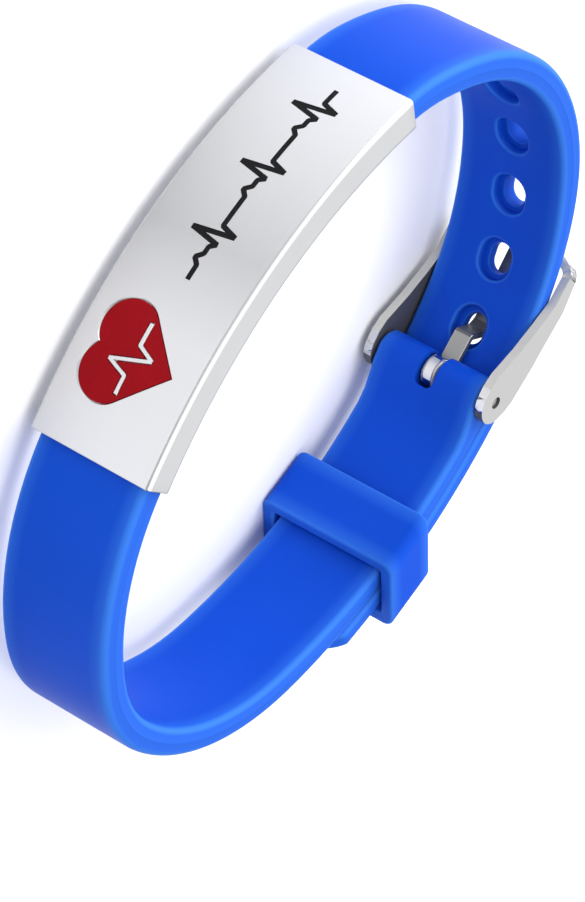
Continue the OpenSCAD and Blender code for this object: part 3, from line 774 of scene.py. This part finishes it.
def cut(mesh, *cutters, sharp=METAL_SHARP):
    """The mesh with the cutters taken away."""
    tools = [linked_object("tool", cutter) for cutter in cutters]

    def subtract(body):
        for tool in tools:
            modifier = body.modifiers.new("cut", "BOOLEAN")
            modifier.operation, modifier.solver, modifier.object = "DIFFERENCE", "EXACT", tool

    done = applied(mesh, subtract)
    for tool in tools:
        bpy.data.objects.remove(tool)
    smooth_mesh(done, sharp)
    return done


slot_half = TONGUE_W / 2 + PIN_GAP
slot_back = quarter(SLOT_ROUND - SLOT_BACK, slot_half - SLOT_ROUND, SLOT_ROUND, 90, SLOT_STEPS)
slot_outline = [(2 * FOLD_R, -slot_half), (2 * FOLD_R, slot_half)] + [(u, w) for u, w, _ in slot_back]
slot_outline += [(u, -w) for u, w in reversed(slot_outline[2:])]
slot_cut = block(slot_outline, lambda u, w: from_pin(u, w, -2 * FOLD_R),
                 lambda u, w: from_pin(u, w, FOLD_R + LAP_GAP / 2))
bore_r = PIN_D / 2 + PIN_GAP
bore_cut = pin_hole(bore_r, BORE_STEPS)


# %% Strap
strap_sweep = mesh_from("strap_sweep", points, faces, rims)
strap_mesh = cut(strap_sweep, slot_cut, bore_cut, sharp=SOFT_SHARP)
new_piece("strap_soft", strap_mesh, silicone, "strap", "strap")

# %% [markdown]
# ## Keeper
# The keeper is a small square loop of the same silicone. The tail's tip has dragged its outside
# towards the tip, so it leans. A loop with a wall is made from two rounded outlines, the outside
# and the inside of the wall. The wall's own section is a row of points: each says how far it lies
# between the two outlines, and how far along the strap. Every point of the section becomes a ring.

# %% Loops with a wall
CORNER_STEPS, MOUTH_STEPS = 8, 4
HOLD = 0.15  # points this close to a rounding keep the flat sides from looking bent


def rounded_box(low, high, half, radius):
    """Outline points (out, across) of a rounded rectangle; every one has the same count."""
    ends = [(high - radius, half - radius, 0), (low + radius, half - radius, 90),
            (low + radius, radius - half, 180), (high - radius, radius - half, 270)]
    arcs = [[np.array(p[:2]) for p in quarter(x, y, radius, first, CORNER_STEPS)] for x, y, first in ends]
    points = []
    for arc, following in zip(arcs, arcs[1:] + arcs[:1]):
        side = following[0] - arc[-1]
        hold = HOLD * side / np.linalg.norm(side)
        points += arc + [arc[-1] + hold, following[0] - hold]
    return points


def wall_section(length, wall, mouth_r, steps):
    """Points (share of the wall from outside to inside, along, rim) round the wall's section."""
    share, end = mouth_r / wall, length / 2 - mouth_r
    points = []
    for first, face, near, far, way in ((0, 0.0, share, 1 - share, 1), (180, 1.0, 1 - share, share, -1)):
        points += [(face, way * end * (2 * i / steps - 1), 0.0) for i in range(1, steps)]
        for centre, begin in ((near, first), (far, first + 90)):
            for x, y, rim in quarter(0, 0, 1, begin, MOUTH_STEPS):
                points.append((centre - share * x, way * end + mouth_r * y, rim))
    return points


def loop_mesh(name, outer, inner, section_points, place):
    """Joins one ring for each point of the wall's section; place puts a point into the row."""
    points, rims = [], []
    for share, along, rim in section_points:
        for a, b in zip(outer, inner):
            points.append(place(*(a + (b - a) * share), along))
            rims.append(rim)
    return mesh_from(name, points, ring_faces(len(outer), len(section_points), closed=True), rims)


# %% Keeper
KEEPER_R, KEEPER_INNER_R, MOUTH_R, KEEPER_ROWS = 1.1, 0.35, 0.28, 4


def on_keeper(x, y, along):
    lean = KEEPER_DRAG / 2 - KEEPER_DRAG * (x - keeper_low) / (keeper_high - keeper_low)
    return in_row(buckle_back(keeper_h) + x * out_dir(keeper_h) + (along + lean) * along_dir(keeper_h), y)


keeper_out = rounded_box(keeper_low, keeper_high, keeper_half_w, KEEPER_R)
keeper_in = rounded_box(keeper_low + KEEPER_WALL, keeper_high - KEEPER_WALL,
                        keeper_half_w - KEEPER_SIDE, KEEPER_INNER_R)
keeper_wall = wall_section(KEEPER_L, KEEPER_WALL, MOUTH_R, KEEPER_ROWS)
keeper_mesh = loop_mesh("keeper_loop", keeper_out, keeper_in, keeper_wall, on_keeper)
new_piece("keeper_loop", keeper_mesh, silicone, "strap", "keeper")

# %% [markdown]
# ## Plate
# The plate is pressed from sheet and welded behind the strap, so its long edges are rounded and
# its faces run on without a break. It is a loop with a thin wall again, bent round the plate's
# own circle. The heart and the engraved line are cut into it with blocks. Round the heart the rims
# widen a little towards the surface: that leaves the thin bright shoulder of a pressed edge.

# %% Plate
PLATE_EDGE_R, PLATE_INNER_R, PLATE_MOUTH_R, PLATE_ROWS = 0.45, 0.12, 0.12, 56
plate_front = PLATE_R + BAND_T / 2 + PLATE_PROUD
plate_back = plate_front - PLATE_T
plate_half_w = HALF_W + PLATE_FIT + PLATE_WALL
bend_middle = in_row(plate_middle, 0)


def on_plate_circle(x, y, along):
    return in_row(plate_middle + x * out_dir(along / PLATE_R), y)


sleeve_out = rounded_box(plate_back, plate_front, plate_half_w, PLATE_EDGE_R)
sleeve_in = rounded_box(plate_back + PLATE_WALL, plate_front - PLATE_WALL,
                        plate_half_w - PLATE_WALL, PLATE_INNER_R)
sleeve_wall = wall_section(PLATE_L, PLATE_WALL, PLATE_MOUTH_R, PLATE_ROWS)
plate_sleeve = loop_mesh("plate_sleeve", sleeve_out, sleeve_in, sleeve_wall, on_plate_circle)

# %% Outlines of the heart and of the lines
HEART_SIDE, HEART_AT, ENAMEL_D, STEEL_LINE_W = 5.6, 11.1, 0.3, 0.45
ENGRAVING_L, ENGRAVING_H, ENGRAVING_AT, ENGRAVING_W, ENGRAVING_D = 21.5, 4.2, 7.0, 0.5, 0.2
# Corners of a beat (along, up) as shares of its length and height, and of the heart's line.
BEAT = [(0, -0.1), (0.2, -0.1), (0.28, 0.04), (0.36, -0.1), (0.46, -0.1), (0.52, -0.24),
        (0.6, 0.5), (0.69, -0.5), (0.76, -0.1)]
BEATS = 3
HEART_BEAT = [(-0.61, 0.05), (-0.29, 0.05), (-0.15, 0.43), (0.08, -0.27), (0.22, 0.05), (0.61, 0.05)]
HEART_STEPS = 24


def heart_outline(side):
    """A square on its corner with a half circle on each of its upper sides."""
    points = [np.array([0.0, -side / math.sqrt(2)])]
    for lobe, first in ((1, -45), (-1, 45)):
        middle = side * math.sqrt(2) / 4 * np.array([lobe, 1])
        for i in range(HEART_STEPS + (lobe < 0)):
            turn = math.radians(first + 180 * i / HEART_STEPS)
            points.append(middle + side / 2 * along_dir(turn))
    return points


def stroke_outline(line, width, grow):
    """A line of even width; corners are cut off outside and pointed inside."""
    line = [np.array(p, float) for p in line]
    ways = [(b - a) / np.linalg.norm(b - a) for a, b in zip(line, line[1:])]
    line = [line[0] - grow * ways[0], *line[1:-1], line[-1] + grow * ways[-1]]
    half, banks = width / 2 + grow, []
    for side in (1, -1):
        normals = [side * np.array([-way[1], way[0]]) for way in ways]
        bank = [line[0] + half * normals[0]]
        for p, a, b in zip(line[1:-1], normals, normals[1:]):
            inside = side * (a[0] * b[1] - a[1] * b[0]) > 0
            bank += [p + half * (a + b) / (1 + a @ b)] if inside else [p + half * a, p + half * b]
        banks.append(bank + [line[-1] + half * normals[-1]])
    return banks[0] + banks[1][::-1]


beat_line = [((i + x) / BEATS, y) for i in range(BEATS) for x, y in BEAT] + [(1, BEAT[0][1])]
engraving_line = [(ENGRAVING_L * (x - 0.5), ENGRAVING_H * y) for x, y in beat_line]
heart_line = [(HEART_SIDE * x, HEART_SIDE * y) for x, y in HEART_BEAT]
print("engraved line:", len(engraving_line), "points")

# %% Cut the recesses
SHOULDER, SHOULDER_D, ABOVE = 0.08, 0.1, 0.3
ON_BEND = 0.999  # how well a face has to follow the plate's circle


def stack(at, *levels):
    """A closed block from outlines (points, depth below the plate's front) that lie on each other."""
    h = at / PLATE_R
    points = []
    for outline, depth in levels:
        radius = plate_front - depth
        for u, v in outline:
            out = math.sqrt(radius**2 - u**2) * out_dir(h)
            points.append(in_row(plate_middle - u * along_dir(h) + out, -v))
    return mesh_from("stack", points, ring_faces(len(levels[0][0]), len(levels)))


def recess(at, outline, depth, sign=1):
    """Outline is a function of growth. Sign -1 makes the block of something that stays in a recess."""
    wide, exact = outline(sign * SHOULDER), outline(0)
    return stack(at, (wide, -ABOVE), (wide, 0), (exact, SHOULDER_D), (exact, depth))


def flat_from(middle, place):
    """The way from an upright line through middle to a place, without its height."""
    return Vector((place.x - middle.x, place.y - middle.y, 0))


def set_normals(mesh, rule):
    """Gives the corners of faces the normals that rule(face, place) finds for them."""
    normals = [Vector(corner.vector) for corner in mesh.corner_normals]
    for face in mesh.polygons:
        for corner in face.loop_indices:
            found = rule(face, mesh.vertices[mesh.loops[corner].vertex_index].co)
            normals[corner] = normals[corner] if found is None else found
    mesh.normals_split_custom_set(normals)


def bend_normal(face, place):
    """Faces that follow the plate's circle have that circle's own normals."""
    facing = face.normal.dot(flat_from(bend_middle, face.center).normalized())
    if abs(facing) > ON_BEND:
        return math.copysign(1, facing) * flat_from(bend_middle, place).normalized()
    return None


heart_cut = recess(HEART_AT, lambda grow: heart_outline(HEART_SIDE + 2 * grow), ENAMEL_D)
line_left = recess(HEART_AT, lambda grow: stroke_outline(heart_line, STEEL_LINE_W, grow), PLATE_WALL, -1)
engraved = stroke_outline(engraving_line, ENGRAVING_W, 0)
engraving_cut = stack(-ENGRAVING_AT, (engraved, -ABOVE), (engraved, ENGRAVING_D))
plate_mesh = cut(plate_sleeve, cut(heart_cut, line_left), engraving_cut)
set_normals(plate_mesh, bend_normal)
new_piece("plate_dressed", plate_mesh, satin_steel, "plate", "id_plate")

# %% [markdown]
# ## Inlays
# Inlays and buckle are exact solids, but a real edge is never perfectly sharp: the thin bright
# line along an edge is what makes metal look real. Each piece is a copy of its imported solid.
# Flat faces are joined again, and edges that bend by more than 30 degrees get a small rounding.
# Holes on the pin's line are closed before that, because a bevel needs faces without holes, and
# cut again after it.


# %% Copies with softened edges
SHARP, ONE_PLACE, ONE_PLANE = math.radians(30), 1e-7, math.radians(0.4)
pin_line = from_pin(0, 0, 0)


def from_pin_line(place):
    """Distance from the middle line of the pin, in mm."""
    return flat_from(pin_line, place).length / MM


def softened(node, width, segments=3, width_at=None, plug=0):
    """A copy of a node's mesh with bevelled edges; width_at(edge) may give an edge its own width.
    Holes within plug of the pin's line are closed."""
    work = bmesh.new()
    work.from_mesh(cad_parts[node].data)
    bmesh.ops.remove_doubles(work, verts=work.verts, dist=ONE_PLACE)
    if plug:
        walls = [f for f in work.faces if all(from_pin_line(v.co) < plug for v in f.verts)]
        bmesh.ops.delete(work, geom=walls, context="FACES")
        bmesh.ops.holes_fill(work, edges=[e for e in work.edges if e.is_boundary], sides=0)
        print(node, "closed,", len(walls), "faces of its holes left out")
    bmesh.ops.dissolve_limit(work, angle_limit=ONE_PLANE, verts=work.verts, edges=work.edges)
    edges = [e for e in work.edges if len(e.link_faces) == 2 and e.calc_face_angle(0) > SHARP]
    groups = {}
    for e in edges:
        groups.setdefault(width_at(e) if width_at else width, []).append(e)
    for size, members in sorted(groups.items(), reverse=True):
        bmesh.ops.bevel(work, geom=[e for e in members if e.is_valid], offset=size * MM, offset_type="OFFSET",
                        segments=segments, profile=0.5, affect="EDGES", clamp_overlap=True)
    bmesh.ops.recalc_face_normals(work, faces=work.faces)
    mesh = bpy.data.meshes.new(node)
    work.to_mesh(mesh)
    work.free()
    smooth_mesh(mesh, METAL_SHARP)
    print(node, "softened", len(edges), "edges")
    return mesh


def by_face_area(mesh):
    """The mesh with normals weighted by face area, so that flat faces beside a bevel stay flat."""
    def weigh(body):
        body.modifiers.new("normals", "WEIGHTED_NORMAL").keep_sharp = True

    mesh.validate()
    return applied(mesh, weigh)


# %% Inlays
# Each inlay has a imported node, a name, a rounding in mm and its steps, a finish and a slot.
INLAYS = [("emblem_enamel", "heart_enamel", 0.06, 2, enamel, "enamel"),
          ("engraving_fill", "pulse_fill", 0.02, 1, black_fill, "engraving")]
for node, name, width, steps, finish, slot in INLAYS:
    new_piece(name, by_face_area(softened(node, width, steps)), finish, slot, node)

# %% [markdown]
# ## Buckle
# Frame: stamped and bent from sheet, then tumbled. Its outside and its ears are bright, the edge
# towards the wrist is satin, and the faces that look at the strap and the walls of its pin holes are
# darkened, a painted shade. Painting that by hand would follow no change of size, so a rule finds it
# from where a face lies and which way it looks.


# %% Dull and bright faces
def outwards(normal):
    return normal.x * math.sin(pin_h) - normal.y * math.cos(pin_h)


def mark_dull_and_shade(mesh, rule):
    """Gives every face the value that rule(middle, normal) finds for it."""
    values = [rule(face.center, face.normal) for face in mesh.polygons]
    mesh.attributes.new("dull_and_shade", "FLOAT", "FACE").data.foreach_set("value", values)
    print(mesh.name, "has", sum(value > 0 for value in values), "dull faces")
    return mesh


def reach_of(node):
    return max(from_pin_line(v.co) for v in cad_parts[node].data.vertices)


# %% Frame
PIN_TIP_D, FRAME_ROUND = 1.0, 0.24
PIN_HOLE_R, HOLE_STEPS = PIN_TIP_D / 2 + PIN_GAP, 48
PLUG_FREE = 0.1  # a hole is closed up to this far past its own radius
IN_HOLE, EAR_REACH, BAR_FROM = 1.05 * PIN_HOLE_R, 1.8 * PIN_D, 0.8 * reach_of("buckle_frame")
WRISTWARDS, INNER_FROM, INNER_OVER, INNER_SURE = 0.65, 0.3, 0.4, 0.9


def frame_dull_and_shade(middle, normal):
    """The frame's inner faces and pin holes are darkened, a painted shade; its edge on the wrist side is
    satin.
    """
    to_middle = -math.copysign(1, middle.z - pin_line.z) * normal.z
    to_pin = -normal.x * math.cos(pin_h) - normal.y * math.sin(pin_h)
    away = from_pin_line(middle)
    if away < IN_HOLE:
        return 1.0
    if outwards(normal) < -WRISTWARDS and away > EAR_REACH:
        return SATIN_AT
    inner = min(1.0, max(0.0, (max(to_middle, to_pin) - INNER_FROM) / INNER_OVER))
    return inner if inner > INNER_SURE or away > BAR_FROM else 0.0


frame_plain = softened("buckle_frame", FRAME_ROUND, plug=PIN_HOLE_R + PLUG_FREE)
frame_cut = cut(frame_plain, pin_hole(PIN_HOLE_R, HOLE_STEPS))
frame_mesh = mark_dull_and_shade(by_face_area(frame_cut), frame_dull_and_shade)
new_piece("buckle_frame_dressed", frame_mesh, polished_steel, "buckle", "buckle_frame")

# %% [markdown]
# Tongue: a strip whose end is rolled round the pin. The roll shines like a small barrel. Its
# facets are too small for a wide bevel, so two rings with a hollow corner cut its ends, and it
# gets the normals of a barrel. The strip is satin. Its sides, the ends of the roll and what goes into
# the strap's hole are darkened, a painted shade.

# %% Tongue
ROLL_ROUND, STRIP_ROUND, TIP_ROUND, TIP_NEAR = 0.62, 0.07, 0.55, 0.5
ROLL_FROM, ROLL_TO, ROLL_STEPS, BEYOND = 95, 335, 40, 0.2
FLAT_END, FACES_IN = 0.99, -0.1
# How fast and from where the roll darkens towards its ends, and how dark the darkest parts get: painted
# shade.
ROLL_REACH, ROLL_SHADE, ROLL_SHADE_FROM, DARK = 1.1 * ROLL_R, 1.6, 0.25, 0.95
BEVEL_FROM, BEVEL_TO, OUTSIDE, STRIP_DULL, STRIP_END = 0.2, 0.8, 0.3, 0.74, 0.7
barrel_r, barrel_w = ROLL_R - ROLL_ROUND, TONGUE_W / 2 - ROLL_ROUND
tongue_reaches = reach_of("buckle_tongue")


def tongue_width(edge):
    """Edges of the tip are rounded more than those of the strip."""
    away = [from_pin_line(v.co) for v in edge.verts]
    across = abs(edge.verts[0].co.z - edge.verts[1].co.z) > TIP_NEAR * MM
    return TIP_ROUND if min(away) > tongue_reaches - TIP_NEAR and not across else STRIP_ROUND


def roll_end(side):
    """A ring with a hollow corner that rounds off one end of the roll where the strip isn't."""
    corner = [p[:2] for p in quarter(barrel_r, barrel_w, ROLL_ROUND, 0, CORNER_STEPS)]
    past_r, past_w = ROLL_R + BEYOND, TONGUE_W / 2 + BEYOND
    corner += [(barrel_r, past_w), (past_r, past_w), (past_r, barrel_w)]
    points = []
    for turn in np.radians(np.linspace(ROLL_FROM, ROLL_TO, ROLL_STEPS)):
        points += [from_pin(r * math.cos(turn), side * w, r * math.sin(turn)) for r, w in corner]
    return mesh_from("roll_end", points, ring_faces(len(corner), ROLL_STEPS))


def roll_normal(face, place):
    """The roll has the normals of a round barrel in place of those of its flat facets."""
    facing = face.normal.dot(flat_from(pin_line, face.center).normalized())
    out, across = flat_from(pin_line, place), (place.z - pin_line.z) / MM
    elsewhere = from_pin_line(face.center) > ROLL_R or out.length / MM <= barrel_r
    if elsewhere or abs(face.normal.z) > FLAT_END or facing < FACES_IN:
        return None
    beside = math.copysign(max(0.0, abs(across) - barrel_w), across)
    return ((out.length / MM - barrel_r) * out.normalized() + Vector((0, 0, beside))).normalized()


def tongue_dull_and_shade(middle, normal):
    """The tongue's sides, the roll's ends and what goes into the hole are darkened, a painted shade; its
    strip is duller than satin.
    """
    away, edge = from_pin_line(middle), abs(normal.z)
    if away < ROLL_REACH:
        return min(DARK, max(0.0, ROLL_SHADE * edge - ROLL_SHADE_FROM))
    if BEVEL_FROM < edge < BEVEL_TO or outwards(normal) > OUTSIDE:
        return 0.0
    return STRIP_DULL if edge < BEVEL_TO and away < TONGUE_REACH - STRIP_END else DARK


tongue_plain = softened("buckle_tongue", STRIP_ROUND, width_at=tongue_width, plug=bore_r + PLUG_FREE)
tongue_cut = cut(tongue_plain, roll_end(1), roll_end(-1), pin_hole(bore_r, HOLE_STEPS))
tongue_mesh = mark_dull_and_shade(by_face_area(tongue_cut), tongue_dull_and_shade)
set_normals(tongue_mesh, roll_normal)
new_piece("buckle_tongue_dressed", tongue_mesh, polished_steel, "buckle", "buckle_tongue")

# %% [markdown]
# Pin: a turned bar whose ends were sawn off, so they are dull.

# %% Pin
PIN_ROUND, SAWN, PIN_END = 0.08, 0.8, 0.8
pin_mesh = by_face_area(softened("buckle_pin", PIN_ROUND))
mark_dull_and_shade(pin_mesh, lambda middle, normal: SAWN if abs(normal.z) > PIN_END else 0.0)
new_piece("buckle_pin_dressed", pin_mesh, polished_steel, "buckle", "buckle_pin")
